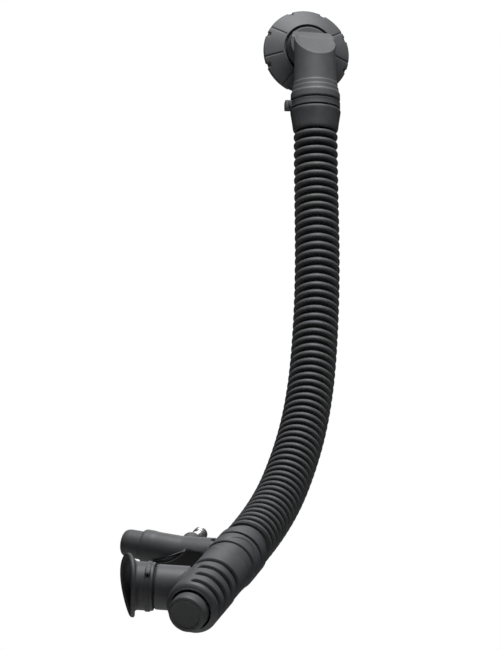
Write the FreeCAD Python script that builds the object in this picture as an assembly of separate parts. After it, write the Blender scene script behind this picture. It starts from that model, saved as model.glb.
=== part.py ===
import FreeCAD, Part
import math
import os

from FreeCAD import Placement, Rotation, Vector

# A power inflator for a diver's buoyancy vest: a vented shoulder elbow that screws onto
# the bladder, a corrugated hose, and an inflator head with two buttons, a mouthpiece and
# a quick-connect nipple. Millimetres, +Z up. The origin is the centre of the threaded
# mouth on the back of the shoulder valve, whose axis runs out along +Y.

# Driving dimensions
HOSE_R = 16.5            # outside of the corrugated hose
HOSE_BORE = 12.6
BARB_R = 12.55           # hose tails of the elbow and of the head
BARB_BORE = 10.4
ELBOW_Y = -44.0          # axis of the elbow's down tube
ELBOW_R = 15.5
COVER_R = 33.5
THREAD_R = 21.5          # mouth that takes the bladder's threaded flange
THREAD_DEPTH = 6.5
SEAT_WALL = 8.0          # rear face of the wall that carries the exhaust seat
NECK_R = 17.6            # elbow neck, which turns in the cover
COLLAR_R = 17.9
FACET_SLOPE = 0.97       # rise of the elbow's slanted face for each mm it goes back
FACET_FOOT_Z = -14.1     # where that face leaves the front of the down tube
ELBOW_TOP_Z = 7.1
BARREL_R = 16.4
BUTTON_R = 12.0
TUBE_R = 10.6            # side tube that holds the inflate valve
TUBE_Z = 20.0            # along the barrel, from the end of the hose
TUBE_END = 61.5
MOUTH_Z = 66.7           # where the mouthpiece tube's axis meets the barrel's
MOUTH_TILT = 76.0        # degrees between the barrel's axis and the mouthpiece tube's
MOUTH_R = 14.2
MOUTH_BORE = 9.5
RECESS_R = 27.9          # arc that bounds the recess beside the side tube
RECESS_FLOOR = 25.5
CABLE_R = 0.75
CABLE_BEND = 10.0
TIE_WIDTH = 4.8
TIE_THICK = 1.3
LEAF_LINES = (-10, 33, 147, 190, 236, 304)    # angles of the cover's thin grooves
GRIPS = ((58.0, 310), (68.7, 286), (79.4, 276), (90.1, 271))    # place along the barrel, upper end

# The hose's route, from the elbow's skirt to the head
ROUTE = [
    (0, -44, -48),
    (0, -44, -101.6),
    (-4, -64, -175.6),
    (-10, -81, -231.6),
    (-20, -104, -284.6),
    (-37, -135, -332.6),
    (-66, -181, -384.6),
    (-92, -218, -410.6),
]
ROUTE_POINTS = [Vector(*p) for p in ROUTE]
TAIL_GAP = 6.0           # from the end of the corrugated tube to the head's own origin

X, Y, Z = Vector(1, 0, 0), Vector(0, 1, 0), Vector(0, 0, 1)
ORIGIN = Vector(0, 0, 0)


def unit(vector):
    return Vector(vector).normalize()


HEAD_AXIS = unit(ROUTE_POINTS[-1] - ROUTE_POINTS[-2])
HEAD_ORIGIN = ROUTE_POINTS[-1] + HEAD_AXIS * TAIL_GAP
side = Vector(-0.864, 0.463, 0.198)
HEAD_SIDE = unit(side - HEAD_AXIS * side.dot(HEAD_AXIS))

# Local frames. Shoulder: z is the distance in front of the mouth, y is up.
# Down tube: z is up, on the elbow's axis. Head: z runs down the barrel, x to the side tube.
SHOULDER = Placement(ORIGIN, Rotation(X, 90))
DOWN = Placement(Vector(0, ELBOW_Y, 0), Rotation())
HEAD = Placement(HEAD_ORIGIN, Rotation(HEAD_SIDE, HEAD_AXIS.cross(HEAD_SIDE), HEAD_AXIS, "ZXY"))


def child(parent, base, z_axis, x_axis):
    """A frame inside another one, from its origin and two of its directions."""
    z_axis, x_axis = unit(z_axis), unit(x_axis)
    return parent.multiply(Placement(base, Rotation(x_axis, z_axis.cross(x_axis), z_axis, "ZXY")))


tilt = math.radians(MOUTH_TILT)
MOUTH = child(HEAD, Vector(0, 0, MOUTH_Z), Vector(math.sin(tilt), 0, math.cos(tilt)), Y)
VALVE = child(HEAD, Vector(0, 0, TUBE_Z), X, Y)
NIPPLE_X = 34.0
NIPPLE = child(HEAD, Vector(NIPPLE_X, 0, 0), -Z, X)


def placed(shape, frame):
    """The shape, moved from a local frame into the part's frame."""
    moved = shape.copy()
    moved.Placement = frame.multiply(moved.Placement)
    return moved


def rod(radius, low, high, at=ORIGIN, along=Z):
    return Part.makeCylinder(radius, high - low, at + along * low, along)


def ring(inner, outer, low, high):
    return rod(outer, low, high).cut(rod(inner, low - 1, high + 1))


def turned(outline, angle=360, start=0):
    """A solid of revolution about local z from (radius, z) points."""
    points = [Vector(r, 0, z) for r, z in outline]
    face = Part.Face(Part.makePolygon(points + points[:1]))
    solid = face.revolve(ORIGIN, Z, angle)
    solid.rotate(ORIGIN, Z, start)
    return solid


def block(low, high):
    size = [b - a for a, b in zip(low, high)]
    return Part.makeBox(*size, Vector(*low))


def prism(points, direction):
    """A straight prism on a closed polygon."""
    return Part.Face(Part.makePolygon(points + points[:1])).extrude(direction)


def fused(first, *others):
    return first.fuse(list(others)).removeSplitter()


def o_ring(radius, section, z):
    return Part.makeTorus(radius, section, Vector(0, 0, z), Z)


def coil_spring(radius, wire, low, high, turns):
    """A round-wire compression spring along local z."""
    height = high - low - 2 * wire
    helix = Part.makeHelix(height / turns, height, radius)
    circle = Part.Wire(Part.makeCircle(wire, Vector(radius, 0, 0), Y))
    spring = Part.Wire(helix.Edges).makePipeShell([circle], True, True)
    spring.translate(Vector(0, 0, low + wire))
    return Part.Solid(spring) if spring.ShapeType != "Solid" else spring


def around(shape, count, start=0):
    """Copies of a shape spaced evenly about local z."""
    copies = []
    for i in range(count):
        copy = shape.copy()
        copy.rotate(ORIGIN, Z, start + 360 * i / count)
        copies.append(copy)
    return copies


def rounded_route(points):
    """Edges of straight runs joined by tangent arcs, with each arc's radius."""
    edges, radii, here = [], [], points[0]
    for before, corner, after in zip(points, points[1:], points[2:]):
        incoming, outgoing = unit(corner - before), unit(after - corner)
        half = incoming.getAngle(outgoing) / 2
        reach = 0.45 * min((corner - before).Length, (after - corner).Length)
        radius = reach / math.tan(half)
        start, end = corner - incoming * reach, corner + outgoing * reach
        middle = corner + unit(outgoing - incoming) * (radius / math.cos(half) - radius)
        edges.append(Part.LineSegment(here, start).toShape())
        edges.append(Part.Arc(start, middle, end).toShape())
        radii.append(radius)
        here = end
    edges.append(Part.LineSegment(here, points[-1]).toShape())
    return edges, radii


def swept(edges, radius):
    """A round bar along a run of edges."""
    path = Part.Wire(edges)
    first = edges[0]
    direction = first.tangentAt(first.FirstParameter)
    circle = Part.Wire(Part.makeCircle(radius, first.firstVertex(True).Point, direction))
    return path.makePipeShell([circle], True, False)


def valve_base():
    """Threaded base with the exhaust seat, and notches to grip it from behind."""
    base = turned([
        (THREAD_R, 0), (25, 0), (25, 5.2), (29.5, 8.6), (29.5, 12), (28, 12), (28, 10), (17.5, 10),
        (17.5, 11), (15.5, 11), (15.5, SEAT_WALL), (21, SEAT_WALL), (21, THREAD_DEPTH),
        (THREAD_R, THREAD_DEPTH),
    ])
    notch = rod(2.2, -1, 4.2, Vector(26.4, 0, 0))
    return base.cut(around(notch, 16))


def flange_gasket():
    return ring(16.5, 20.9, THREAD_DEPTH, SEAT_WALL)


def cover_shell():
    """Domed cover with a collar for the neck, vents, rim notches and radial leaf lines."""
    shell = turned([
        (COVER_R, 15.4), (COVER_R, 17.4), (33.1, 18.2), (32.3, 18.7), (20.3, 26.2), (19.9, 26.5),
        (19.3, 26.1), (19.3, 24.2), (COLLAR_R, 24.2), (COLLAR_R, 18), (20.4, 18), (20.4, 23.9),
        (29.5, 18.2), (29.5, 10.8), (31, 10.8), (31, 14.9),
    ])
    slope = Vector(32.3 - 20.3, 0, 18.7 - 26.2)
    line = Part.makeBox(slope.Length + 2, 0.6, 1.2, Vector(-1, -0.3, -0.6))
    line.Placement = Placement(Vector(20.3, 0, 26.2), Rotation(unit(slope), Y, unit(slope).cross(Y), "XYZ"))
    lines = []
    for angle in LEAF_LINES:
        lines += around(line, 1, angle)
    vent = block((28.6, -4.2, 12.4), (36, 4.2, 14.9))
    lug = block((31.9, -1.6, 16.9), (36, 1.6, 22))
    return shell.cut(lines + around(vent, 8, 22.5) + around(lug, 8, 22.5))


def dump_poppet():
    """Exhaust plate with the sleeve that slides in the neck and the bar for the cable."""
    plate = turned([
        (10.5, 12.1), (20.5, 12.1), (20.5, 12.8), (20.1, 13.2), (12.2, 13.2), (12.2, 22.5), (10.5, 22.5),
    ])
    bar = block((-11, -2, 15), (11, 2, 17)).cut(rod(1.25, 14, 18))
    return fused(plate, bar)


def elbow_passage():
    """The air way: bore, sleeve bore, spring pocket and the slanted corner."""
    wall = 3.4
    reach = wall * math.sqrt(1 + FACET_SLOPE ** 2) / FACET_SLOPE
    ways = fused(
        rod(8.5, 25, -ELBOW_Y, Vector(0, 0, -4), -Y),
        rod(BARB_BORE, -75, 2, Vector(0, ELBOW_Y, 0)),
    )
    keep = prism(facet_outline(reach, 1.9), Vector(80, 0, 0))
    pocket = placed(rod(12.8, 20.9, 26.2).fuse(rod(15.2, 15, 21)), SHOULDER)
    return ways.common(keep).fuse(pocket)


def facet_outline(inset, drop):
    """Side outline of all that lies under the slanted face and the flat top."""
    foot_y = ELBOW_Y - ELBOW_R + inset
    top_z = ELBOW_TOP_Z - drop
    back = (top_z - FACET_FOOT_Z) / FACET_SLOPE
    low = 60.0
    corners = [
        (foot_y - low / FACET_SLOPE, FACET_FOOT_Z - low), (foot_y + back, top_z), (0, top_z),
        (0, -90), (foot_y - low / FACET_SLOPE, -90),
    ]
    return [Vector(-40, y, z) for y, z in corners]


def elbow():
    """Mitred elbow with a skirt, a hose barb and a recessed slanted face."""
    tube = placed(turned([
        (0, 12), (ELBOW_R, 12), (ELBOW_R, -16), (16.3, -34), (16.8, -34.4), (17.0, -37.6),
        (17.5, -38.0), (17.8, -41.2), (18.6, -42.2), (18.6, -47.2), (18.0, -47.8), (BARB_R, -47.8),
        (BARB_R, -69), (11.6, -70), (0, -70),
    ]), DOWN)
    shaft = placed(rod(NECK_R, 27, -ELBOW_Y - 4), SHOULDER)
    outside = tube.fuse(shaft).common(prism(facet_outline(0, 0), Vector(80, 0, 0)))
    round_neck = placed(turned([
        (0, 15.5), (17.2, 15.5), (NECK_R, 15.9), (NECK_R, 16.6), (16.2, 16.6), (16.2, 17.9),
        (NECK_R, 17.9), (NECK_R, 20.2), (15.95, 20.2), (15.95, 22.4), (NECK_R, 22.4), (NECK_R, 27.2),
        (0, 27.2),
    ]), SHOULDER)
    rim = 1.7
    floor = rod(ELBOW_R - rim, -40, 20, Vector(0, ELBOW_Y, 0)).common(
        prism(facet_outline(-5, rim), Vector(80, 0, 0)))
    panel = floor.cut(prism(facet_outline(0.8, -5), Vector(80, 0, 0)))
    return outside.fuse(round_neck).cut([elbow_passage(), panel]).removeSplitter()


def retaining_clip():
    """Open spring clip in the neck's rear groove."""
    gap = block((0, -3, 16), (25, 3, 19))
    return ring(16.3, 19.3, 16.65, 17.8).cut(gap)


def upper_cuff():
    return turned([
        (HOSE_R, -48.2), (17.3, -48.2), (17.3, -54.8), (18.3, -55.0), (18.9, -55.6), (18.9, -57),
        (17.2, -69), (16.8, -70.6), (HOSE_R, -70.6),
    ])


def lower_cuff():
    return turned([
        (HOSE_BORE, -TAIL_GAP), (HOSE_R, -TAIL_GAP), (HOSE_R, -5.4), (14.0, -5.0), (14.0, 2.6),
        (14.6, 3), (HOSE_BORE, 3),
    ])


def cable_tie(radius, z, angle):
    """A strap with its ratchet box and the stub of its tail."""
    outer = radius + TIE_THICK
    strap = ring(radius, outer, z - TIE_WIDTH / 2, z + TIE_WIDTH / 2)
    box = block((radius + 0.3, -4.2, z - 3.4), (outer + 4.6, 4.2, z + 3.4))
    box = box.makeFillet(1.0, box.Edges)
    tail = block((outer + 0.6, 4, z - 2.1), (outer + 1.9, 7, z + 2.1))
    tie = strap.fuse([box.cut(rod(radius + 0.1, z - 9, z + 9)), tail]).removeSplitter()
    tie.rotate(ORIGIN, Z, angle)
    return tie


def hose_ties():
    upper = placed(cable_tie(17.3, -51.3, 172), DOWN)
    lower = placed(cable_tie(14.0, -1.2, 75), HEAD)
    return Part.makeCompound([upper, lower])


def cable_edges(hose_edges):
    """The pull cable: through the neck, round the elbow and down the middle of the hose."""
    corner = Vector(0, ELBOW_Y, 0)
    bend_start, bend_end = corner + Y * CABLE_BEND, corner - Z * CABLE_BEND
    bend_middle = corner + (Y - Z) * CABLE_BEND * (1 - math.sqrt(0.5))
    end = HEAD_ORIGIN + HEAD_AXIS * 11
    return [
        Part.LineSegment(Vector(0, -12.5, 0), bend_start).toShape(),
        Part.Arc(bend_start, bend_middle, bend_end).toShape(),
        Part.LineSegment(bend_end, ROUTE_POINTS[0]).toShape(),
        *hose_edges,
        Part.LineSegment(ROUTE_POINTS[-1], end).toShape(),
    ]


def cable_ends():
    """The swaged balls at the two ends of the pull cable."""
    bore = rod(CABLE_R, -3, 3)
    ball = Part.makeSphere(2.0).cut(bore)
    front = placed(ball, Placement(Vector(0, -12.5, 0), Rotation(Z, Y)))
    back = placed(ball, HEAD.multiply(Placement(Vector(0, 0, 11), Rotation())))
    return Part.makeCompound([front, back])


def barrel_outside():
    return turned([
        (0, -24), (11.6, -24), (BARB_R, -23), (BARB_R, 3), (17.0, 3), (17.5, 3.6), (17.5, 11.2),
        (17.1, 11.8), (15.9, 12.0), (15.9, 14.2), (17.1, 14.4), (17.6, 15.0), (17.6, 26.8), (17.1, 27.4),
        (16.2, 27.8), (16.2, 29.8), (17.0, 30.3), (16.8, 33), (BARREL_R, 40), (BARREL_R, 93.5),
        (15.9, 95.0), (13.6, 97.5), (0, 97.5),
    ])


def grip_groove(z, end):
    """A finger groove round the grip side of the barrel, with rounded ends."""
    width, depth, start = 4.4, 1.9, 120.0
    radius = BARREL_R + 0.5
    lane = Part.makeTorus(radius, width / 2, Vector(0, 0, z), Z)
    wedge = turned([(5, z - 5), (25, z - 5), (25, z + 5), (5, z + 5)], end - start, start)
    floor = rod(BARREL_R - depth, z - 5, z + 5)
    cuts = [lane.common(wedge).cut(floor)]
    for angle in (start, end):
        a = math.radians(angle)
        ball = Part.makeSphere(width / 2, Vector(radius * math.cos(a), radius * math.sin(a), z))
        cuts.append(ball.cut(floor))
    return cuts


def side_tube():
    """The inflate valve's tube, flared at the barrel, with a recess bounded by a raised arc."""
    tube = placed(turned([
        (0, 6), (13.8, 6), (TUBE_R, 34), (TUBE_R, 52), (11.0, 55), (11.0, 60), (10.2, TUBE_END),
        (0, TUBE_END),
    ]), child(Placement(), Vector(0, 0, TUBE_Z), X, Y))
    centre = Vector(52, -22, 0)
    rim = rod(RECESS_R, RECESS_FLOOR - 1, 31.4, centre)
    lip = rim.cut(rod(RECESS_R - 0.9, 20, 35, centre)).common(block((20, -6.5, 20), (52, 8, 35)))
    recess = block((8, -6.5, RECESS_FLOOR), (52, 14, 40)).cut(rod(RECESS_R, 20, 45, centre))
    return fused(tube.cut(recess), lip)


def head_body():
    """Barrel, side tube, mouthpiece tube, rib and nipple boss, in one moulding."""
    mouth = child(Placement(), Vector(0, 0, MOUTH_Z), Vector(math.sin(tilt), 0, math.cos(tilt)), Y)
    mouth_tube = placed(turned([
        (0, 4), (MOUTH_R, 4), (MOUTH_R, 31.4), (13.8, 32.4), (12.4, 32.4), (12.4, 43.4), (11.9, 44.4),
        (0, 44.4),
    ]), mouth)
    rib = block((12, 0, 9.6), (45, 13, 12.4))
    boss = rod(7.2, 2, 16, Vector(NIPPLE_X, 0, 0))
    body = fused(barrel_outside(), mouth_tube, side_tube(), rib, boss)
    for z, end in GRIPS:
        body = body.cut(grip_groove(z, end))
    inside = turned([
        (0, -26), (BARB_BORE, -26), (BARB_BORE, 22), (13.4, 26), (13.4, 49), (9, 49), (9, 51.5),
        (12.4, 51.5), (12.4, 84), (13.2, 84), (13.2, 99), (0, 99),
    ])
    mouth_bore = placed(rod(MOUTH_BORE, 8, 46), mouth)
    valve = child(Placement(), Vector(0, 0, TUBE_Z), X, Y)
    valve_bore = placed(turned([
        (0, 40), (4.5, 40), (4.5, 46.5), (6.5, 46.5), (6.5, 54), (9.6, 54), (9.6, 63), (0, 63),
    ]), valve)
    feed_start, feed_end = Vector(NIPPLE_X, 0, 11), Vector(43, 0, TUBE_Z)
    feed_line = feed_end - feed_start
    feed = rod(1.5, 0, feed_line.Length, feed_start, unit(feed_line))
    socket = rod(4.0, 1, 12, Vector(NIPPLE_X, 0, 0))
    outlet = rod(1.8, 12, 50, Vector(0, -6.4, TUBE_Z), X)
    crescent = barrel_crescent()
    body = body.cut([inside, mouth_bore, valve_bore, feed, socket, outlet, crescent])
    bar = block((-11, -2, 6), (11, 2, 8)).cut(rod(1.25, 5, 9))
    return fused(body, bar)


def barrel_crescent():
    """A tapering groove in the second collar, deepest at one side."""
    outer = rod(19.5, 18.6, 21.4)
    inner = rod(17.6, 17, 23, Vector(0.9, 0.9, 0))
    return outer.cut(inner)


def deflate_housing():
    """Guide plate under the deflate button."""
    return turned([(2.1, 84), (13.1, 84), (13.1, 86.6), (4.4, 86.6), (4.4, 88.4), (2.1, 88.4)])


def deflate_button():
    """Round cup-shaped button with a boss for its stem."""
    top = 105.7
    return turned([
        (2.0, 96), (4.0, 96), (4.0, top - 2.4), (10.4, top - 2.4), (10.4, 92), (BUTTON_R, 92),
        (BUTTON_R, top - 5.6), (11.7, top - 3.0), (10.9, top - 1.0), (9.6, top - 0.2), (8.6, top),
        (8.3, top - 0.5), (0, top - 0.5), (0, 103), (2.0, 103),
    ])


def deflate_stem():
    return rod(1.98, 43, 103)


def deflate_seal():
    return ring(1.98, 11.0, 46.2, 48.9)


def seal_backing():
    return ring(1.98, 8.0, 44.4, 46.2)


def deflate_spring():
    return coil_spring(7.5, 0.6, 86.7, 103.2, 6)


def inflate_cartridge():
    """Brass seat and guide of the inflate valve."""
    body = turned([
        (1.65, 46.6), (6.4, 46.6), (6.4, 49.0), (5.0, 49.0), (5.0, 50.6), (6.4, 50.6), (6.4, 54.0),
        (8.2, 54.0), (8.2, 55.6), (3.4, 55.6), (3.4, 57), (1.65, 57),
    ])
    port = rod(1.0, 0, 7, Vector(0, 0, 47.8), X)
    return body.cut(port)


def inflate_stem():
    return turned([(0, 43.6), (3.3, 43.6), (3.3, 45.5), (1.5, 45.5), (1.5, 72), (0, 72)])


def inflate_seal():
    return ring(1.5, 3.3, 45.5, 46.4)


def inflate_button():
    """Domed button with a boss for its stem."""
    return turned([
        (1.5, 66), (3.2, 66), (3.2, 72), (7.6, 72), (7.6, 58.6), (9.2, 58.6), (9.2, 70.5), (8.9, 72.4),
        (8.0, 74.2), (6.4, 75.3), (4.2, 75.8), (0, 75.9), (0, 72), (1.5, 72),
    ])


def inflate_spring():
    return coil_spring(5.4, 0.5, 55.8, 71.8, 5)


def lp_nipple():
    """Quick-connect nipple with a hexagon, a locking groove and a bore for its core."""
    hexagon = prism([Vector(6.4 * math.cos(a), 6.4 * math.sin(a), -1.4) for a in
                     (math.radians(60 * i) for i in range(6))], Z * 3.0)
    pin = turned([
        (0, -11), (3.9, -11), (3.9, 1.4), (4.75, 1.6), (4.75, 5.2), (3.7, 6.0), (3.7, 8.6),
        (4.75, 9.4), (4.75, 13.2), (4.0, 14.6), (3.4, 15.4), (0, 15.4),
    ])
    return fused(pin, hexagon).cut(rod(2.0, -12, 16))


def nipple_core():
    """Spring valve core inside the nipple."""
    return turned([(0, 3), (1.95, 3), (1.95, 8), (1.3, 8.6), (1.3, 11), (0.6, 11), (0.6, 14), (0, 14)])


def mouthpiece():
    """Soft boot with a dished oval lip."""
    return turned([
        (12.5, 33.2), (14.8, 33.2), (15.2, 33.8), (15.2, 43.9), (15.6, 45.7), (17.0, 47.4), (19.4, 48.8),
        (20.2, 49.8), (20.0, 51.1), (19.2, 51.8), (15.9, 50.6), (13.4, 48.9), (12.0, 46.6), (11.8, 45.2),
        (12.5, 44.8),
    ])


def mouthpiece_tie():
    strap = ring(15.2, 15.9, 35.4, 38.2)
    lock = block((15.4, -2.6, 35.0), (17.2, 2.6, 38.6))
    tie = fused(strap, lock)
    tie.rotate(ORIGIN, Z, 150)
    return tie


def build():
    """Every piece by name, in the part's frame."""
    hose_edges, radii = rounded_route(ROUTE_POINTS)
    length = sum(edge.Length for edge in hose_edges)
    hose = swept(hose_edges, HOSE_R).cut(swept(hose_edges, HOSE_BORE))
    section = math.pi * (HOSE_R ** 2 - HOSE_BORE ** 2)
    print("hose arc radii", [round(r) for r in radii])
    print("hose length", round(length, 1), "volume ratio", round(hose.Volume / (section * length), 4))
    cable_path = cable_edges(hose_edges)
    print("cable length", round(sum(edge.Length for edge in cable_path), 1))
    cable = swept(cable_path, CABLE_R)
    return {
        "valve_base": placed(valve_base(), SHOULDER),
        "flange_gasket": placed(flange_gasket(), SHOULDER),
        "cover_shell": placed(cover_shell(), SHOULDER),
        "dump_poppet": placed(dump_poppet(), SHOULDER),
        "dump_seal": placed(ring(14.5, 19.8, 11.1, 12.1), SHOULDER),
        "dump_spring": placed(coil_spring(13.9, 0.5, 13.25, 20.85, 3), SHOULDER),
        "elbow": elbow(),
        "elbow_o_ring": placed(o_ring(16.9, 0.9, 21.3), SHOULDER),
        "retaining_clip": placed(retaining_clip(), SHOULDER),
        "pull_cable": cable,
        "cable_ends": cable_ends(),
        "hose": hose,
        "upper_cuff": placed(upper_cuff(), DOWN),
        "lower_cuff": placed(lower_cuff(), HEAD),
        "hose_ties": hose_ties(),
        "head_body": placed(head_body(), HEAD),
        "deflate_housing": placed(deflate_housing(), HEAD),
        "deflate_button": placed(deflate_button(), HEAD),
        "deflate_stem": placed(deflate_stem(), HEAD),
        "deflate_seal": placed(deflate_seal(), HEAD),
        "seal_backing": placed(seal_backing(), HEAD),
        "deflate_spring": placed(deflate_spring(), HEAD),
        "inflate_cartridge": placed(inflate_cartridge(), VALVE),
        "cartridge_o_ring": placed(o_ring(5.75, 0.7, 49.8), VALVE),
        "inflate_stem": placed(inflate_stem(), VALVE),
        "inflate_seal": placed(inflate_seal(), VALVE),
        "inflate_button": placed(inflate_button(), VALVE),
        "inflate_spring": placed(inflate_spring(), VALVE),
        "lp_nipple": placed(lp_nipple(), NIPPLE.multiply(Placement(Vector(0, 0, -0.6), Rotation()))),
        "nipple_core": placed(nipple_core(), NIPPLE.multiply(Placement(Vector(0, 0, -0.6), Rotation()))),
        "mouthpiece": placed(mouthpiece(), MOUTH),
        "mouthpiece_tie": placed(mouthpiece_tie(), MOUTH),
    }


def main():
    os.makedirs("parts", exist_ok=True)
    for name, shape in build().items():
        box = shape.BoundBox
        print(f"{name:18} solids {len(shape.Solids)} valid {shape.isValid()} volume {shape.Volume:9.1f}"
              f" x {box.XMin:7.1f} {box.XMax:7.1f} y {box.YMin:7.1f} {box.YMax:7.1f}"
              f" z {box.ZMin:7.1f} {box.ZMax:7.1f}")
        shape.exportStep(f"parts/{name}.step")


main()
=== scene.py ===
import math

import bmesh
import bpy
from bpy.props import FloatProperty, FloatVectorProperty, IntProperty, PointerProperty
from mathutils import Matrix, Vector


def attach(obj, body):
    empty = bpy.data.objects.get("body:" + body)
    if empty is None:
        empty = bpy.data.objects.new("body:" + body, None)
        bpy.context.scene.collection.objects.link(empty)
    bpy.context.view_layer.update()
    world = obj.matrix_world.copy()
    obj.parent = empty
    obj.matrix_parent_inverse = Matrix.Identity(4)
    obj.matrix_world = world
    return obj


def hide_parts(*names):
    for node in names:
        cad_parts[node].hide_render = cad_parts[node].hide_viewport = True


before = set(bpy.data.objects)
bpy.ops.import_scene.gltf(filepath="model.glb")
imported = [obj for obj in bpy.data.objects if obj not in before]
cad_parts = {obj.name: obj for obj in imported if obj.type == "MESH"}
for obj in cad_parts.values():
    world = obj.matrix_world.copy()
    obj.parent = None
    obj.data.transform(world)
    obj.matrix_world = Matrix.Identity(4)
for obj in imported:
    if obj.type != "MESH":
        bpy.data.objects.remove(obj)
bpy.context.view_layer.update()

bl_info = {
    "name": "Buoyancy vest inflator",
    "version": (1, 0, 0),
    "blender": (4, 5, 0),
    "location": "3D View > Sidebar > Inflator",
    "description": "Builds a diver's inflator hose with its elbow, corrugated hose and two-button head",
    "category": "Object",
}

MM = 0.001
HOSE_AND_HEAD = "hose_and_head"
SHOULDER_VALVE = "shoulder_valve"
TO_METRES = Matrix.Scale(MM, 4)


# Places: every piece is shaped in millimetres in its own frame, then moved to one of these

def axes(origin, z_axis, x_axis):
    """A frame from its origin in millimetres, its z direction and its x direction."""
    z_axis, x_axis = Vector(z_axis).normalized(), Vector(x_axis).normalized()
    turned = Matrix((x_axis, z_axis.cross(x_axis), z_axis)).transposed().to_4x4()
    return Matrix.Translation(origin) @ turned


ROUTE = [
    (0, -0.044, -0.048),
    (0, -0.044, -0.1016),
    (-0.004, -0.064, -0.1756),
    (-0.010, -0.081, -0.2316),
    (-0.020, -0.104, -0.2846),
    (-0.037, -0.135, -0.3326),
    (-0.066, -0.181, -0.3846),
    (-0.092, -0.218, -0.4106),
]
HOSE_END_R = 16.4

HEAD_AXIS = (Vector(ROUTE[-1]) - Vector(ROUTE[-2])).normalized()
HEAD_SIDE = Vector((-0.864, 0.463, 0.198))
HEAD_SIDE = (HEAD_SIDE - HEAD_AXIS * HEAD_SIDE.dot(HEAD_AXIS)).normalized()
TILT = math.radians(76)

SHOULDER = axes((0, 0, 0), (0, -1, 0), (1, 0, 0))
DOWN = axes((0, -44, 0), (0, 0, 1), (1, 0, 0))
HEAD = axes(Vector(ROUTE[-1]) / MM + HEAD_AXIS * 6, HEAD_AXIS, HEAD_SIDE)
MOUTH = HEAD @ axes((0, 0, 66.7), (math.sin(TILT), 0, math.cos(TILT)), (0, 1, 0))
VALVE = HEAD @ axes((0, 0, 20), (1, 0, 0), (0, 1, 0))
NIPPLE = HEAD @ axes((34, 0, 0.6), (0, 0, -1), (1, 0, 0))


# Sizes and colours that may be changed

def size_mm(name, description, default):
    return FloatProperty(name=name, description=description, default=default, min=0.0, soft_max=60.0)


def colour(name, description, default):
    return FloatVectorProperty(
        name=name, description=description, default=default, size=3, min=0.0, max=1.0, subtype="COLOR")


class InflatorSizes(bpy.types.PropertyGroup):
    rings: IntProperty(
        name="Hose rings", description="Number of rings along the hose", default=59, min=10, max=120)
    crest: size_mm("Ring crest radius", "Outside radius of a hose ring, in millimetres", 16.5)
    root: size_mm("Ring root radius", "Radius of the groove between two rings, in millimetres", 13.7)
    leaf_line: size_mm("Leaf line depth", "Depth of the joint lines on the round cover, in millimetres", 0.7)
    rim: size_mm("Button rim", "Width of the rounded edge round the lower button, in millimetres", 1.4)
    panel_rise: size_mm("Grip panel rise", "How far the grip panel stands off the barrel, in millimetres", 0.55)


class InflatorColours(bpy.types.PropertyGroup):
    shell: colour("Shell", "Moulded plastic of the elbow and the cover", (0.047, 0.048, 0.051))
    head: colour("Head", "Moulded plastic of the inflator head", (0.042, 0.043, 0.047))
    button: colour("Buttons", "Plastic of the two push buttons", (0.040, 0.041, 0.043))
    hose: colour("Hose", "Rubber of the corrugated hose", (0.037, 0.038, 0.040))
    mouthpiece: colour("Mouthpiece", "Soft rubber of the mouthpiece", (0.034, 0.035, 0.038))
    metal: colour("Nipple", "Plated metal of the quick-connect nipple", (0.66, 0.66, 0.67))
    floor: colour("Floor", "Plain floor under the object", (0.83, 0.83, 0.82))


# Finishes

class Value:
    """A number in a shader: Python's operators add Math nodes to its tree."""

    def __init__(self, finish, socket):
        self.finish, self.socket = finish, socket

    def math(self, operation, *terms, clamp=False):
        settings = {"operation": operation, "use_clamp": clamp}
        node = self.finish.node("ShaderNodeMath", settings, dict(enumerate(terms)))
        return Value(self.finish, node.outputs[0])

    def __add__(self, other):
        return self.math("ADD", self, other)

    def __sub__(self, other):
        return self.math("SUBTRACT", self, other)

    def __rsub__(self, other):
        return self.math("SUBTRACT", other, self)

    def __mul__(self, other):
        return self.math("MULTIPLY", self, other)

    def between(self, low, high):
        """0 at low and 1 at high, held outside them."""
        return ((self - low) * (1 / (high - low))).held()

    def held(self):
        return self.math("ADD", self, 0.0, clamp=True)

    __radd__, __rmul__ = __add__, __mul__


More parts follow.
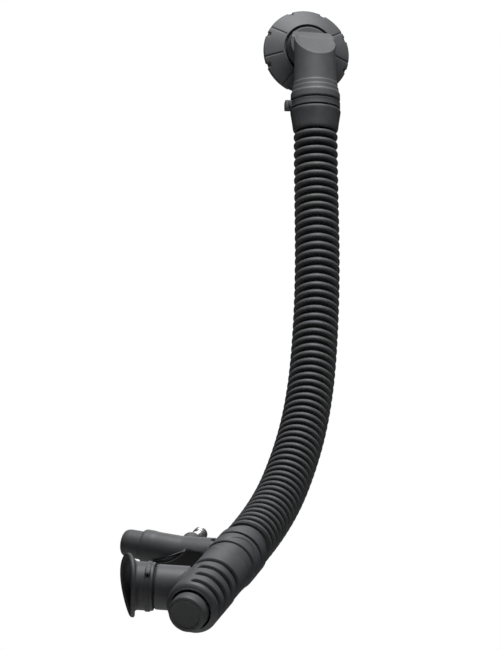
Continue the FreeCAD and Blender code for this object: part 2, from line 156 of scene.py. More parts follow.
class Finish:
    """A procedural material on the piece's own coordinates."""

    def __init__(self, name):
        self.material = bpy.data.materials.new(name)
        self.material.use_nodes = True
        self.tree = self.material.node_tree
        self.surface = self.tree.nodes["Principled BSDF"]
        self.surface.inputs["Specular IOR Level"].default_value = 0.25
        self.place = self.node("ShaderNodeTexCoord").outputs["Object"]

    def node(self, kind, settings=None, inputs=None):
        node = self.tree.nodes.new(kind)
        for name, value in (settings or {}).items():
            setattr(node, name, value)
        for key, value in (inputs or {}).items():
            self.feed(node.inputs[key], value)
        return node

    def feed(self, socket, value):
        if isinstance(value, Value):
            value = value.socket
        if isinstance(value, bpy.types.NodeSocket):
            self.tree.links.new(value, socket)
        else:
            socket.default_value = value

    def stretched(self, scale):
        return self.node("ShaderNodeMapping", None, {"Vector": self.place, "Scale": scale}).outputs[0]

    def noise(self, scale, detail=2.0, roughness=0.5, vector=None):
        inputs = {"Vector": vector or self.place, "Scale": scale, "Detail": detail, "Roughness": roughness}
        return Value(self, self.node("ShaderNodeTexNoise", None, inputs).outputs[0])

    def cells(self, scale):
        inputs = {"Vector": self.place, "Scale": scale}
        return Value(self, self.node("ShaderNodeTexVoronoi", None, inputs).outputs["Distance"])

    def attribute(self, name):
        return Value(self, self.node("ShaderNodeAttribute", {"attribute_name": name}).outputs["Fac"])

    def mixed(self, factor, first, second):
        """The first colour at factor 0 and the second at 1."""
        node = self.node("ShaderNodeMix", {"data_type": "RGBA"}, {0: factor})
        for socket, value in ((node.inputs[6], first), (node.inputs[7], second)):
            self.feed(socket, value if isinstance(value, bpy.types.NodeSocket) else (*value, 1.0))
        return node.outputs[2]

    def bump(self, height, depth_mm, strength=1.0, below=None):
        inputs = {"Height": height, "Distance": depth_mm * MM, "Strength": strength}
        if below:
            inputs["Normal"] = below
        return self.node("ShaderNodeBump", None, inputs).outputs["Normal"]

    def put(self, **values):
        for name, value in values.items():
            self.feed(self.surface.inputs[name.replace("_", " ")], value)
        return self.material


def shade(tint, factor):
    return tuple(min(1.0, channel * factor) for channel in tint)


def moulded(name, tint, roughness=0.42, grain=2400.0, depth=0.018):
    """Spark-eroded moulded plastic: fine grain, faint cloudiness, a few rubbed places, and painted shade
    darkening the grooves and recesses that the mesh marks.
    """
    finish = Finish(name)
    cloud = finish.noise(55, 4, 0.6)
    rubbed = finish.noise(140, 5, 0.65).between(0.58, 0.8)
    specks = finish.noise(3800, 1).between(0.66, 0.8)
    base = finish.mixed(cloud.between(0.3, 0.7), shade(tint, 0.86), shade(tint, 1.14))
    base = finish.mixed(specks * 0.35, base, shade(tint, 1.9))
    # painted shade: the colour falls to an eighth where the mesh marks grooves, recesses and openings
    base = finish.mixed(finish.attribute("painted_shade"), base, shade(tint, 0.12))
    grit = finish.bump(finish.cells(grain), depth)
    flow = finish.bump(finish.noise(90, 2), 0.05, below=grit)
    return finish.put(
        Base_Color=base, Roughness=cloud * 0.1 + (roughness - 0.05) - rubbed * 0.08, Normal=flow)


def hose_rubber(name, tint):
    """Moulded rubber: painted shade darkens the grooves, and the ring crests carry a light bloom and scuffs."""
    finish = Finish(name)
    crest = finish.attribute("crest")
    bloom = finish.noise(320, 4, 0.6).between(0.42, 0.75) * crest.between(0.5, 1.0)
    cloud = finish.noise(60, 3)
    # painted shade: the colour falls to a fifth in the grooves and comes up to about the plain tone on the
    # crests
    base = finish.mixed(crest.between(0.0, 0.9), shade(tint, 0.2), shade(tint, 1.05))
    base = finish.mixed(bloom * 0.55, base, shade(tint, 1.75))
    grit = finish.bump(finish.noise(2600, 2), 0.03)
    flow = finish.bump(finish.noise(220, 3), 0.06, below=grit)
    return finish.put(Base_Color=base, Roughness=cloud * 0.12 + 0.56 - bloom * 0.06, Normal=flow)


def soft_rubber(name, tint, roughness=0.55):
    finish = Finish(name)
    cloud = finish.noise(110, 4, 0.6)
    base = finish.mixed(cloud.between(0.35, 0.7), shade(tint, 0.82), shade(tint, 1.2))
    # painted shade: the colour darkens where the mesh marks a hollow, such as the inside of the mouthpiece's
    # opening
    base = finish.mixed(finish.attribute("painted_shade"), base, shade(tint, 0.12))
    grit = finish.bump(finish.noise(3000, 2), 0.02)
    return finish.put(Base_Color=base, Roughness=cloud * 0.14 + (roughness - 0.07), Normal=grit)


def metal(name, tint, roughness=0.2, lines=(900.0, 900.0, 900.0)):
    """Plated or drawn metal with fine turning marks and faint stains."""
    finish = Finish(name)
    marks = finish.noise(1.0, 3, 0.6, vector=finish.stretched(lines))
    stain = finish.noise(400, 4, 0.6)
    base = finish.mixed(stain.between(0.4, 0.75), shade(tint, 1.05), shade(tint, 0.8))
    scratch = finish.bump(marks, 0.008)
    return finish.put(
        Base_Color=base, Metallic=1.0, Normal=scratch,
        Roughness=marks * 0.12 + stain * 0.1 + (roughness - 0.1))


FINISHES = {}


def finish_of(name):
    """A named finish, made when it's first asked for."""
    tints = bpy.context.scene.inflator_colours
    makers = {
        "shell plastic": lambda key: moulded(key, tints.shell, 0.6),
        "head plastic": lambda key: moulded(key, tints.head, 0.56, 2200.0, 0.02),
        "button plastic": lambda key: moulded(key, tints.button, 0.62, 1500.0, 0.04),
        "tie nylon": lambda key: moulded(key, shade(tints.shell, 0.8), 0.55, 3000.0, 0.008),
        "hose rubber": lambda key: hose_rubber(key, tints.hose),
        "hose rubber plain": lambda key: soft_rubber(key, tints.hose, 0.6),
        "mouthpiece rubber": lambda key: soft_rubber(key, tints.mouthpiece),
        "seal rubber": lambda key: soft_rubber(key, (0.02, 0.02, 0.02), 0.4),
        "bright nipple": lambda key: metal(key, tints.metal, 0.34),
        "spring steel": lambda key: metal(key, (0.5, 0.5, 0.51), 0.32),
        "turned brass": lambda key: metal(key, (0.66, 0.47, 0.2), 0.3),
    }
    if name not in FINISHES:
        FINISHES[name] = makers[name](name)
    return FINISHES[name]


# Shaping

def finished(name, bm, place, finish, body, nodes=()):
    """Turns a bmesh in millimetres into a finished piece that rides on a body."""
    bmesh.ops.transform(bm, matrix=TO_METRES @ place, verts=bm.verts)
    mesh = bpy.data.meshes.new(name)
    bm.to_mesh(mesh)
    bm.free()
    return adopted(name, mesh, finish, body, nodes)


def adopted(name, mesh, finish, body, nodes=()):
    mesh.materials.clear()
    mesh.materials.append(finish_of(finish))
    piece = bpy.data.objects.new(name, mesh)
    bpy.context.scene.collection.objects.link(piece)
    mesh.shade_smooth()
    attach(piece, body)
    if nodes:
        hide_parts(*nodes)
    return piece


def tidied(bm):
    """Merges doubles and turns the faces outwards."""
    bmesh.ops.remove_doubles(bm, verts=bm.verts, dist=0.0005)
    bmesh.ops.recalc_face_normals(bm, faces=bm.faces)
    return bm


def lathe(outline, soften=0.4, steps=128, step_length=None):
    """Spins a (radius, height) outline about z, with its corners rounded first."""
    bm = bmesh.new()
    verts = [bm.verts.new((radius, 0, height)) for radius, height in outline]
    closed = outline[0][0] > 0 or outline[-1][0] > 0
    for one, two in zip(verts, verts[1:] + verts[:1] if closed else verts[1:]):
        bm.edges.new((one, two))
    corners = [v for v in verts if v.co.x > 0 and len(v.link_edges) == 2]
    if soften:
        bmesh.ops.bevel(
            bm, geom=corners, offset=soften, offset_type="OFFSET", segments=3, profile=0.5,
            affect="VERTICES", material=-1, clamp_overlap=True)
    if step_length:
        for edge in list(bm.edges):
            cuts = int(edge.calc_length() / step_length)
            if cuts:
                bmesh.ops.subdivide_edges(bm, edges=[edge], cuts=cuts)
    spin(bm, steps)
    return tidied(bm)


def spin(bm, steps, angle=2 * math.pi):
    bmesh.ops.spin(
        bm, geom=bm.verts[:] + bm.edges[:], cent=(0, 0, 0), axis=(0, 0, 1), dvec=(0, 0, 0),
        angle=angle, steps=steps, use_merge=True)


def rounded_box(low, high, radius=0.8, turn=0.0):
    """A box in millimetres with bevelled edges, turned about z."""
    bm = bmesh.new()
    size, middle = Vector(high) - Vector(low), (Vector(high) + Vector(low)) / 2
    bmesh.ops.create_cube(bm, size=1.0, matrix=Matrix.Translation(middle) @ Matrix.Diagonal((*size, 1)))
    bmesh.ops.bevel(
        bm, geom=bm.edges[:], offset=radius, offset_type="OFFSET", segments=3, profile=0.5,
        affect="EDGES", material=-1)
    bmesh.ops.rotate(bm, cent=(0, 0, 0), matrix=Matrix.Rotation(turn, 3, "Z"), verts=bm.verts)
    return bm


def joined(first, *others):
    """Adds other bmeshes to the first."""
    for other in others:
        mesh = bpy.data.meshes.new("part")
        other.to_mesh(mesh)
        other.free()
        first.from_mesh(mesh)
        bpy.data.meshes.remove(mesh)
    return first


def shifted(bm, place):
    bmesh.ops.transform(bm, matrix=place, verts=bm.verts)
    return bm


def angle_of(point):
    return math.atan2(point.y, point.x)


def off_angle(angle, centre):
    """Difference of two angles, from -pi to pi."""
    return (angle - centre + math.pi) % (2 * math.pi) - math.pi


def bump_of(distance, half_width):
    """1 at 0 and 0 past the half width, rounded."""
    t = min(1.0, abs(distance) / half_width)
    return (1 - t * t) ** 2


def moulded_copy(node, voxel_mm, smoothing=2):
    """A copy of a frame solid with its sharp edges rounded, as a moulding has them."""
    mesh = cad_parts[node].data.copy()
    bm = bmesh.new()
    bm.from_mesh(mesh)
    bmesh.ops.remove_doubles(bm, verts=bm.verts, dist=1e-6)
    bm.to_mesh(mesh)
    bm.free()
    helper = bpy.data.objects.new("helper", mesh)
    bpy.context.scene.collection.objects.link(helper)
    remesh = helper.modifiers.new("skin", "REMESH")
    remesh.mode, remesh.voxel_size, remesh.use_smooth_shade = "VOXEL", voxel_mm * MM, True
    smooth = helper.modifiers.new("rounding", "SMOOTH")
    smooth.factor, smooth.iterations = 0.5, smoothing
    graph = bpy.context.evaluated_depsgraph_get()
    skin = bpy.data.meshes.new_from_object(helper.evaluated_get(graph))
    bpy.data.objects.remove(helper)
    bpy.data.meshes.remove(mesh)
    if not skin.polygons:
        raise RuntimeError(f"no skin was made for {node}")
    return skin


# The hose follows one smooth spline

def route_spline(points, order=3):
    """A NURBS curve through the route's control points."""
    curve = bpy.data.curves.new("hose line", "CURVE")
    curve.dimensions = "3D"
    curve.resolution_u = 64
    spline = curve.splines.new("NURBS")
    spline.points.add(len(points) - 1)
    for control, place in zip(spline.points, points):
        control.co = (*place, 1.0)
    spline.order_u = order
    spline.use_endpoint_u = True
    return curve


def read_line(curve):
    """Points along a curve, as a mesh of it gives them."""
    holder = bpy.data.objects.new("line holder", curve)
    bpy.context.scene.collection.objects.link(holder)
    bpy.context.view_layer.update()
    graph = bpy.context.evaluated_depsgraph_get()
    mesh = bpy.data.meshes.new_from_object(holder.evaluated_get(graph))
    points = [vertex.co.copy() for vertex in mesh.vertices]
    bpy.data.objects.remove(holder)
    bpy.data.meshes.remove(mesh)
    bpy.data.curves.remove(curve)
    return points


class Line:
    """A smooth line in space that a straight piece can be laid along."""

    def __init__(self, points, side):
        self.points, self.sides, self.ups, self.at = points, [], [], [0.0]
        for one, two in zip(points, points[1:]):
            self.at.append(self.at[-1] + (two - one).length)
        for index, point in enumerate(points):
            ahead = points[min(index + 1, len(points) - 1)] - points[max(index - 1, 0)]
            ahead.normalize()
            side = (side - ahead * side.dot(ahead)).normalized()
            self.sides.append(side.copy())
            self.ups.append(ahead.cross(side))
        self.length = self.at[-1]

    def lay(self, bm):
        """Moves a piece that stands on z, in metres, onto the line."""
        last = len(self.points) - 2
        for vert in bm.verts:
            height = min(max(vert.co.z, 0.0), self.length)
            low, high = 0, last
            while low < high:
                middle = (low + high + 1) // 2
                low, high = (middle, high) if self.at[middle] <= height else (low, middle - 1)
            t = (height - self.at[low]) / (self.at[low + 1] - self.at[low])
            point = self.points[low].lerp(self.points[low + 1], t)
            side = self.sides[low].lerp(self.sides[low + 1], t)
            up = self.ups[low].lerp(self.ups[low + 1], t)
            vert.co = point + side * vert.co.x + up * vert.co.y


# Operators, one for each piece or group of like pieces

class InflatorOperator:
    bl_options = {"REGISTER", "UNDO"}

    def execute(self, context):
        self.make(context, context.scene.inflator_sizes)
        return {"FINISHED"}


class INFLATOR_OT_stage(InflatorOperator, bpy.types.Operator):
    """Set the camera, the soft lights and the pale floor"""
    bl_idname = "inflator.stage"
    bl_label = "Stage"

    def make(self, context, sizes):
        scene = context.scene
        self.camera(scene)
        self.floor(scene)
        self.sky(scene)
        target = Vector((-0.04, -0.12, -0.22))
        self.light("key", (-0.1, -0.62, 1.15), target, 0.9, 60.0)
        self.light("front", (0.2, -2.4, 0.9), target, 1.6, 2.5)
        self.light("back", (0.6, 1.6, 1.2), target, 1.2, 12.0)

    def camera(self, scene):
        data = bpy.data.cameras.new("camera")
        data.sensor_fit, data.sensor_height = "VERTICAL", 24.0
        data.lens = 24.0 * 2600 / 650
        data.clip_end = 50.0
        camera = bpy.data.objects.new("camera", data)
        right, up, back = (0.9755, -0.2198, 0.0), (-0.0495, -0.2195, 0.9743), (-0.2142, -0.9505, -0.2250)
        turned = Matrix((right, up, back)).transposed().to_4x4()
        camera.matrix_world = Matrix.Translation((-0.458, -1.853, -0.6506)) @ turned
        scene.collection.objects.link(camera)
        scene.camera = camera

    def floor(self, scene):
        bm = bmesh.new()
        bmesh.ops.create_grid(bm, x_segments=1, y_segments=1, size=14)
        bmesh.ops.translate(bm, vec=(0, 0, -1.25), verts=bm.verts)
        mesh = bpy.data.meshes.new("floor")
        bm.to_mesh(mesh)
        bm.free()
        finish = Finish("pale floor")
        cloud = finish.noise(1.5, 2)
        tint = tuple(scene.inflator_colours.floor)
        mesh.materials.append(finish.put(
            Base_Color=finish.mixed(cloud, shade(tint, 0.985), tint), Roughness=0.85))
        floor = bpy.data.objects.new("floor", mesh)
        scene.collection.objects.link(floor)

    def sky(self, scene):
        world = bpy.data.worlds.new("studio")
        world.use_nodes = True
        nodes, links = world.node_tree.nodes, world.node_tree.links
        nodes.clear()
        seen, lit = nodes.new("ShaderNodeBackground"), nodes.new("ShaderNodeBackground")
        seen.inputs["Color"].default_value, seen.inputs["Strength"].default_value = (1, 1, 1, 1), 1.0
        lit.inputs["Color"].default_value, lit.inputs["Strength"].default_value = (1, 1, 1, 1), 0.035
        path, mix = nodes.new("ShaderNodeLightPath"), nodes.new("ShaderNodeMixShader")
        out = nodes.new("ShaderNodeOutputWorld")
        links.new(path.outputs["Is Camera Ray"], mix.inputs[0])
        links.new(lit.outputs[0], mix.inputs[1])
        links.new(seen.outputs[0], mix.inputs[2])
        links.new(mix.outputs[0], out.inputs[0])
        scene.world = world
        scene.view_settings.view_transform = "Standard"

    def light(self, name, place, target, size, power):
        data = bpy.data.lights.new(name, "AREA")
        data.shape, data.size, data.energy = "DISK", size, power
        light = bpy.data.objects.new(name, data)
        light.location = place
        light.rotation_euler = (target - Vector(place)).to_track_quat("-Z", "Y").to_euler()
        bpy.context.scene.collection.objects.link(light)


class INFLATOR_OT_hose(InflatorOperator, bpy.types.Operator):
    """Build the corrugated hose along its route"""
    bl_idname = "inflator.hose"
    bl_label = "Corrugated hose"

    # radius from root (0) to crest (1) through one ring
    ring = ((0.0, 0.0), (0.13, 0.03), (0.19, 0.2), (0.23, 0.6), (0.3, 0.86), (0.4, 0.98), (0.5, 1.0),
            (0.6, 0.98), (0.7, 0.86), (0.77, 0.6), (0.81, 0.2), (0.87, 0.03))
    plain_top = 0.0246

    def make(self, context, sizes):
        line = Line(read_line(route_spline(ROUTE)), Vector((1, 0, 0)))
        pitch = (line.length - self.plain_top) / sizes.rings
        root, crest = sizes.root * MM, sizes.crest * MM
        bm = bmesh.new()
        bore = 0.0126
        outline = [(bore, 0.0), (root, 0.0)]
        for index in range(sizes.rings):
            start = self.plain_top + index * pitch
            outline += [(root + (crest - root) * rise, start + t * pitch) for t, rise in self.ring]
        outline += [(root, line.length), (bore, line.length)]
        verts = [bm.verts.new((radius, 0, height)) for radius, height in outline]
        for one, two in zip(verts, verts[1:]):
            bm.edges.new((one, two))
        spin(bm, 80)
        tidied(bm)
        # crest: 0 at a groove's root and 1 at a ring's crest; the hose finish paints shade into the grooves
        # from it
        layer = bm.verts.layers.float.new("crest")
        for vert in bm.verts:
            vert[layer] = (vert.co.xy.length - root) / (crest - root)
        line.lay(bm)
        mesh = bpy.data.meshes.new("corrugated_hose")
        bm.to_mesh(mesh)
        bm.free()
        piece = adopted("corrugated_hose", mesh, "hose rubber", HOSE_AND_HEAD, ["hose"])


class INFLATOR_OT_cuffs(InflatorOperator, bpy.types.Operator):
    """Build the smooth cuffs at both ends of the hose"""
    bl_idname = "inflator.cuffs"
    bl_label = "Hose cuffs"

    def make(self, context, sizes):
        upper = lathe([
            (15.0, -48.2), (17.3, -48.2), (17.3, -54.7), (18.3, -54.9), (18.9, -55.6), (18.9, -57.0),
            (18.4, -60), (17.6, -65), (17.1, -69.0), (16.8, -70.6), (16.0, -71.4), (14.0, -71.6),
        ], 0.35, 112)
        lower = lathe([
            (13.0, -6.0), (HOSE_END_R, -6.0), (HOSE_END_R, -5.4), (14.0, -5.0), (14.0, 2.6), (14.6, 2.95),
            (13.0, 2.95),
        ], 0.3, 112)
        for name, bm, place in (("upper_cuff_skin", upper, DOWN), ("lower_cuff_skin", lower, HEAD)):
            finished(name, bm, place, "hose rubber plain", HOSE_AND_HEAD, [name[:-5]])


class INFLATOR_OT_ties(InflatorOperator, bpy.types.Operator):
    """Build the toothed cable ties on the cuffs and the mouthpiece"""
    bl_idname = "inflator.ties"
    bl_label = "Cable ties"

    def tie(self, radius, z, turn, width=4.8, thick=1.3, head=(3.4, 4.2, 4.6)):
        outer = radius + thick
        low, high = z - width / 2, z + width / 2
        strap = lathe([(radius, low), (outer, low), (outer, high), (radius, high)], 0.25, 180, 0.8)
        for vert in strap.verts:
            angle = math.degrees(angle_of(vert.co)) % 360
            if vert.co.xy.length > radius + 0.6 and abs(vert.co.z - z) < width / 2 - 0.7 and angle % 4 < 2:
                vert.co.xy *= (vert.co.xy.length - 0.35) / vert.co.xy.length
        half_height, half_width, rise = head
        box = rounded_box((radius + 0.3, -half_width, z - half_height),
                          (outer + rise, half_width, z + half_height))
        tall = half_height * 0.62
        tail = rounded_box((outer + rise * 0.13, half_width - 0.6, z - tall),
                           (outer + rise * 0.42, half_width * 1.67, z + tall), rise * 0.06)
        slot = rounded_box((outer + rise * 0.24, -half_width - 0.15, z - tall),
                           (outer + rise * 0.57, -half_width + 0.6, z + tall), rise * 0.06)
        whole = joined(strap, box, tail, slot)
        bmesh.ops.rotate(
            whole, cent=(0, 0, 0), matrix=Matrix.Rotation(math.radians(turn), 3, "Z"), verts=whole.verts)
        return whole

    def make(self, context, sizes):
        upper = shifted(self.tie(17.3, -51.3, 172), DOWN)
        lower = shifted(self.tie(14.0, -1.2, 75), HEAD)
        finished("hose_tie_pair", joined(upper, lower), Matrix(), "tie nylon", HOSE_AND_HEAD,
                 ["hose_ties"])
        small = self.tie(15.2, 36.8, 150, 2.8, 0.7, (1.8, 2.6, 1.3))
        finished("mouthpiece_strap", small, MOUTH, "tie nylon", HOSE_AND_HEAD,
                 ["mouthpiece_tie"])


class INFLATOR_OT_cover(InflatorOperator, bpy.types.Operator):
    """Build the round vented cover with its leaf lines"""
    bl_idname = "inflator.cover"
    bl_label = "Round cover"

    leaf_lines = (-10, 33, 147, 190, 236, 304)

    def make(self, context, sizes):
        bm = lathe([
            (33.5, 15.4), (33.5, 17.4), (33.1, 18.2), (32.3, 18.7), (20.3, 26.2), (19.9, 26.5), (19.3, 26.1),
            (19.3, 24.2), (17.9, 24.2), (17.9, 18), (20.4, 18), (20.4, 23.9), (29.5, 18.2), (29.5, 12.05),
            (29.9, 10.8), (31, 10.8), (31, 14.9),
        ], 0.3, 360, 0.7)
        bm.normal_update()
        eighth = math.pi / 4
        moves = []
        for vert in bm.verts:
            radius, z, angle = vert.co.xy.length, vert.co.z, angle_of(vert.co)
            front = radius > 20.6 and z > 24.6 - (radius - 20.4) * 0.625
            line = min(abs(off_angle(angle, math.radians(at))) for at in self.leaf_lines) * radius
            lug = abs(off_angle(angle, (math.floor(angle / eighth) + 0.5) * eighth)) * radius
            depth = 0.0
            if front:
                depth = sizes.leaf_line * bump_of(line, 0.8)
            if radius > 31.4 and z > 15.1 and lug < 1.8:
                depth = 1.3
            if 30.5 < radius < 31.3 and 12.3 < z < 14.9 and lug < 4.3:
                depth = 1.2
            moves.append(vert.normal * depth)
        for vert, move in zip(bm.verts, moves):
            vert.co -= move
        finished("cover_dome", bm, SHOULDER, "shell plastic", SHOULDER_VALVE,
                 ["cover_shell"])


class INFLATOR_OT_base(InflatorOperator, bpy.types.Operator):
    """Build the threaded base behind the cover"""
    bl_idname = "inflator.base"
    bl_label = "Threaded base"

    pitch, thread_depth = 3.0, 0.8

    def make(self, context, sizes):
        bm = lathe([
            (21.55, 0), (25, 0), (25, 5.2), (29.45, 8.6), (29.45, 11.9), (28, 11.9), (28, 10), (17.5, 10),
            (17.5, 11), (15.5, 11), (15.5, 8), (21, 8), (21, 6.5), (21.55, 6.5),
        ], 0.3, 240, 0.5)
        for vert in bm.verts:
            radius, z = vert.co.xy.length, vert.co.z
            angle = angle_of(vert.co)
            grow = 0.0
            if 21.5 < radius < 21.8 and 0.4 < z < 6.2:
                turn = (z / self.pitch - angle / (2 * math.pi)) % 1.0
                grow = self.thread_depth * (1 - abs(2 * turn - 1))
            elif 24.4 < radius < 26.5 and z < 4.4:
                sixteenth = math.pi / 8
                grow = -0.8 * bump_of(off_angle(angle, round(angle / sixteenth) * sixteenth) * radius, 2.4)
            vert.co.xy *= (radius + grow) / radius
        finished("threaded_base", bm, SHOULDER, "shell plastic", SHOULDER_VALVE,
                 ["valve_base"])


class INFLATOR_OT_elbow(InflatorOperator, bpy.types.Operator):
    """Build the mitred elbow with its slanted panel"""
    bl_idname = "inflator.elbow"
    bl_label = "Elbow"

    def make(self, context, sizes):
        skin = moulded_copy("elbow", 0.5)
        self.lengthen_panel(skin)
        adopted("elbow_moulding", skin, "shell plastic", HOSE_AND_HEAD, ["elbow"])


    # the slanted panel's upper edge, how much higher the moulding takes it, and its rise for each mm back
    panel_top, panel_back, extra, slope, neck_radius, neck_front = 7.1, -37.6, 3.8, 0.97, 17.6, -27.4

    def lengthen_panel(self, skin):
        """Carries the slanted panel further up, narrowing with the round neck."""
        width = math.sqrt(self.neck_radius ** 2 - self.panel_top ** 2)
        for vert in skin.vertices:
            x, y, z = vert.co / MM
            if y < self.neck_front and z > self.panel_top - 1:
                lift = min(max(0.0, (y - self.panel_back) * self.slope), self.extra)
                share = min(1.0, (z - self.panel_top + 1) / 0.8)
                narrow = math.sqrt(self.neck_radius ** 2 - (self.panel_top + lift) ** 2) / width
                vert.co = Vector((x * (1 - share * (1 - narrow)), y, z + lift * share)) * MM


class INFLATOR_OT_head(InflatorOperator, bpy.types.Operator):
    """Build the inflator head with its side tube and grip panel"""
    bl_idname = "inflator.head"
    bl_label = "Inflator head"

    # each finger groove's place along the barrel and the angle where its upper end stops
    grips = ((58.0, 312), (68.7, 286), (79.4, 276), (90.1, 271))
    grip_start, grip_width, grip_depth = 120, 5.0, 2.3
    # angle round the barrel and where the raised grip panel begins there
    panel_edge = ((-60, 33.2), (0, 36), (60, 58), (120, 60), (160, 58), (172, 54), (180, 45), (188, 38.6),
                  (215, 38.5), (246, 40.3), (270, 37.6), (292, 34.5), (300, 33.2))

    def make(self, context, sizes):
        skin = moulded_copy("head_body", 0.6)
        self.sink_barrel(skin)
        adopted("head_moulding", skin, "head plastic", HOSE_AND_HEAD, ["head_body"])
        barrel = lathe([
            (13.0, 3.0), (17.0, 3.0), (17.5, 3.6), (17.5, 11.2), (17.1, 11.8), (15.6, 12.0), (15.6, 14.2),
            (17.1, 14.4), (17.6, 15.0), (17.6, 26.8), (17.1, 27.4), (16.1, 27.7), (16.1, 29.8), (17.0, 30.2),
            (16.8, 33), (16.4, 40), (16.4, 93.5), (15.9, 95.0), (13.7, 97.4), (13.2, 97.4), (13.2, 60),
        ], 0.3, 256, 0.55)
        painted_shade = barrel.verts.layers.float.new("painted_shade")
        for vert in barrel.verts:
            radius = vert.co.xy.length
            if radius > 14.0 and 3.5 < vert.co.z < 96.5:
                degrees = math.degrees(angle_of(vert.co)) % 360
                depth = self.groove(degrees, vert.co.z) + self.crescent(degrees, vert.co.z)
                # painted shade: the deeper a finger groove or the crescent groove, the darker its colour
                vert[painted_shade] = min(1.0, 0.5 * depth)
                rise = sizes.panel_rise * self.panel(degrees, vert.co.z)
                vert.co.xy *= (radius + rise - depth) / radius
        joined(barrel, self.recess_rim())
        finished("grip_barrel", barrel, HEAD, "head plastic", HOSE_AND_HEAD)

    # the arc beside the side tube that bounds the recess, and the recess's floor
    arc_x, arc_y, arc_r, floor_z = 52, -22, 27.9, 25.5

    def recess_rim(self):
        """The raised arc between the side tube and its recess."""
        bm = bmesh.new()
        section = ((27.1, 25), (27.1, 31), (27.4, 31.4), (27.9, 31), (27.9, 25))
        verts = [bm.verts.new((radius, 0, z)) for radius, z in section]
        for one, two in zip(verts, verts[1:] + verts[:1]):
            bm.edges.new((one, two))
        spin(bm, 40, math.radians(56))
        bmesh.ops.holes_fill(bm, edges=[edge for edge in bm.edges if edge.is_boundary])
        tidied(bm)
        to_centre = Matrix.Translation((self.arc_x, self.arc_y, 0))
        return shifted(bm, to_centre @ Matrix.Rotation(math.radians(90), 4, "Z"))

    def sink_barrel(self, skin):
        """Draws the copy's own barrel wall in, under the grip barrel, and marks the recess's floor for painted
        shade.
        """
        to_head = (TO_METRES @ HEAD).inverted()
        bm = bmesh.new()
        bm.from_mesh(skin)
        bmesh.ops.transform(bm, matrix=to_head, verts=bm.verts)
        painted_shade = bm.verts.layers.float.new("painted_shade")
        for vert in bm.verts:
            radius = vert.co.xy.length
            x, y, z = vert.co
            beyond = math.hypot(x - self.arc_x, y - self.arc_y) - self.arc_r
            # painted shade on the recess's floor between the side tube and the mouth tube
            if abs(z - self.floor_z) < 1 and 8 < x < self.arc_x and y > -6.4 and beyond > 0.3:
                vert[painted_shade] = 1.0
            if 2.6 < z < 98.5 and 13.3 < radius < 18.2:
                vert.co.xy *= (13.3 + (radius - 13.3) * 0.15) / radius
        bmesh.ops.transform(bm, matrix=to_head.inverted(), verts=bm.verts)
        bm.to_mesh(skin)
        bm.free()

    def groove(self, degrees, z):
        depth = 0.0
        for place, end in self.grips:
            past = max(self.grip_start - degrees, degrees - end, 0.0)
            away = math.hypot(z - place, math.radians(past) * 16.4) / (self.grip_width / 2)
            if away < 1:
                depth = self.grip_depth * (1 - away ** 5)
        return depth

    def crescent(self, degrees, z):
        """A bowed groove in the second collar that tapers to its ends."""
        across = (degrees - 236) / 44
        if abs(across) >= 1:
            return 0.0
        middle = 18.6 + 5.5 * across * across
        return 1.0 * bump_of(z - middle, 0.4 + 1.3 * (1 - across * across))

    def panel(self, degrees, z):
        degrees = degrees - 360 if degrees > 300 else degrees
        for (a, low), (b, high) in zip(self.panel_edge, self.panel_edge[1:]):
            if a <= degrees <= b:
                edge = low + (high - low) * (degrees - a) / (b - a)
                t = min(1.0, max(0.0, (z - edge) / 1.1))
                return t * t * (3 - 2 * t)
        return 0.0


class INFLATOR_OT_buttons(InflatorOperator, bpy.types.Operator):
    """Build the deflate button and the inflate button"""
    bl_idname = "inflator.buttons"
    bl_label = "Buttons"

    def make(self, context, sizes):
        face = 105.6
        rim = sizes.rim
        lower = lathe([
            (2.0, 96), (4.0, 96), (4.0, face - 2.4), (10.4, face - 2.4), (10.4, 92), (12.0, 92),
            (12.0, face - rim * 1.6), (12.0 - rim * 0.35, face - rim * 0.5), (12.0 - rim * 1.2, face),
            (8.9, face), (8.6, face - 0.35), (0, face - 0.45), (0, 103), (2.0, 103),
        ], 0.3, 128, 1.0)
        finished("lower_button", lower, HEAD, "button plastic", "deflate_control",
                 ["deflate_button"])
        side = lathe([
            (1.5, 66), (3.2, 66), (3.2, 72), (7.6, 72), (7.6, 58.6), (9.2, 58.6), (9.2, 70.3), (8.9, 72.4),
            (8.0, 74.2), (6.4, 75.2), (4.2, 75.6), (0, 75.7), (0, 72), (1.5, 72),
        ], 0.5, 112, 1.0)
        finished("side_button", side, VALVE, "button plastic", "inflate_control",
                 ["inflate_button"])


class INFLATOR_OT_mouthpiece(InflatorOperator, bpy.types.Operator):
    """Build the soft mouthpiece with its flared lip"""
    bl_idname = "inflator.mouthpiece"
    bl_label = "Mouthpiece"

    def make(self, context, sizes):
        bm = lathe([
            (12.5, 33.2), (14.8, 33.2), (15.2, 33.8), (15.2, 43.9), (15.6, 45.7), (17.0, 47.4), (19.4, 48.8),
            (20.2, 49.8), (20.0, 51.1), (19.2, 51.8), (15.9, 50.6), (13.4, 48.9), (12.0, 46.6), (11.8, 45.2),
            (12.5, 44.8),
        ], 0.5, 144, 0.8)
        painted_shade = bm.verts.layers.float.new("painted_shade")
        for vert in bm.verts:
            flare = min(1.0, max(0.0, (vert.co.z - 40) / 9))
            # painted shade on the inside of the flared opening, darker further in
            inside = 12.4 + max(0.0, vert.co.z - 45.2) * 0.74 - vert.co.xy.length
            vert[painted_shade] = min(1.0, max(0.0, inside * 2)) if vert.co.z > 44 else 0.0
            angle = angle_of(vert.co)
            vert.co.xy *= 1 + flare ** 3 * (0.02 * math.cos(2 * angle) - 0.02)
            vert.co.z -= flare * flare * (0.32 * vert.co.y + 1.0 * math.cos(2 * angle) + 0.9)
        finished("mouthpiece_skin", bm, MOUTH, "mouthpiece rubber", HOSE_AND_HEAD,
                 ["mouthpiece"])


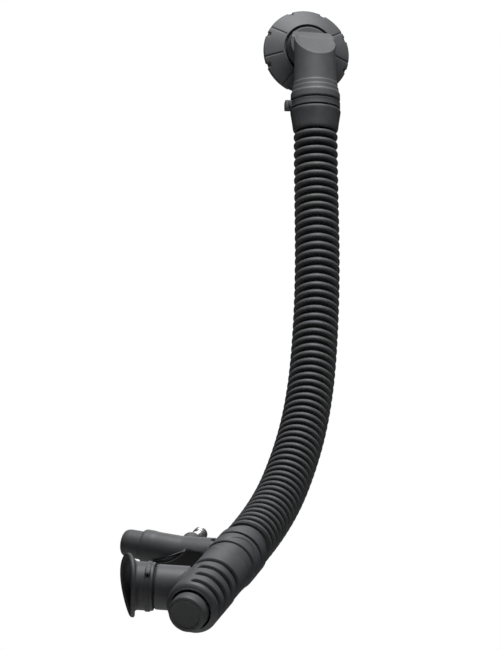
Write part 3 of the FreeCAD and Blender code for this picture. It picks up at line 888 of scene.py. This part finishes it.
class INFLATOR_OT_nipple(InflatorOperator, bpy.types.Operator):
    """Build the plated quick-connect nipple"""
    bl_idname = "inflator.nipple"
    bl_label = "Nipple"

    def make(self, context, sizes):
        pin = lathe([
            (2.0, -11), (3.9, -11), (3.9, 1.4), (4.75, 1.6), (4.75, 5.2), (3.7, 6.0), (3.7, 8.6), (4.75, 9.4),
            (4.75, 13.2), (4.0, 14.6), (3.4, 15.4), (2.0, 15.4),
        ], 0.2, 96)
        hexagon = bmesh.new()
        bmesh.ops.create_cone(hexagon, cap_ends=True, segments=6, radius1=6.4, radius2=6.4, depth=3.0,
                              matrix=Matrix.Translation((0, 0, 0.1)) @ Matrix.Rotation(math.pi / 2, 4, "Z"))
        bmesh.ops.bevel(hexagon, geom=hexagon.edges[:], offset=0.3, offset_type="OFFSET", segments=3,
                        profile=0.5, affect="EDGES", material=-1)
        finished("plated_nipple", joined(pin, hexagon), NIPPLE, "bright nipple", HOSE_AND_HEAD,
                 ["lp_nipple"])


class INFLATOR_OT_inner(InflatorOperator, bpy.types.Operator):
    """Give the inner pieces of the frame their finishes"""
    bl_idname = "inflator.inner"
    bl_label = "Inner pieces"

    finishes = {
        "seal rubber": ["flange_gasket", "dump_seal", "elbow_o_ring", "deflate_seal", "cartridge_o_ring",
                        "inflate_seal"],
        "spring steel": ["dump_spring", "retaining_clip", "pull_cable", "cable_ends", "deflate_stem",
                         "seal_backing", "deflate_spring", "inflate_stem", "inflate_spring"],
        "turned brass": ["inflate_cartridge", "nipple_core"],
        "tie nylon": ["dump_poppet"],
        "head plastic": ["deflate_housing"],
    }

    def make(self, context, sizes):
        for finish, nodes in self.finishes.items():
            for node in nodes:
                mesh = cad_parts[node].data
                if not mesh.materials:
                    mesh.materials.append(None)
                for index in range(len(mesh.materials)):
                    mesh.materials[index] = finish_of(finish)


STEPS = (
    INFLATOR_OT_stage, INFLATOR_OT_hose, INFLATOR_OT_cuffs, INFLATOR_OT_ties, INFLATOR_OT_cover,
    INFLATOR_OT_base, INFLATOR_OT_elbow, INFLATOR_OT_head, INFLATOR_OT_buttons, INFLATOR_OT_mouthpiece,
    INFLATOR_OT_nipple, INFLATOR_OT_inner,
)


class INFLATOR_PT_panel(bpy.types.Panel):
    bl_idname = "INFLATOR_PT_panel"
    bl_label = "Inflator"
    bl_space_type = "VIEW_3D"
    bl_region_type = "UI"
    bl_category = "Inflator"

    def draw(self, context):
        for group in (context.scene.inflator_sizes, context.scene.inflator_colours):
            column = self.layout.column()
            for name in group.__annotations__:
                column.prop(group, name)
        for step in STEPS:
            self.layout.operator(step.bl_idname)


CLASSES = (InflatorSizes, InflatorColours, *STEPS, INFLATOR_PT_panel)


def register():
    for cls in CLASSES:
        bpy.utils.register_class(cls)
    bpy.types.Scene.inflator_sizes = PointerProperty(type=InflatorSizes)
    bpy.types.Scene.inflator_colours = PointerProperty(type=InflatorColours)


def unregister():
    del bpy.types.Scene.inflator_colours
    del bpy.types.Scene.inflator_sizes
    for cls in reversed(CLASSES):
        bpy.utils.unregister_class(cls)


def main():
    register()
    for step in STEPS:
        group, name = step.bl_idname.split(".")
        getattr(getattr(bpy.ops, group), name)()


if __name__ == "__main__":
    main()
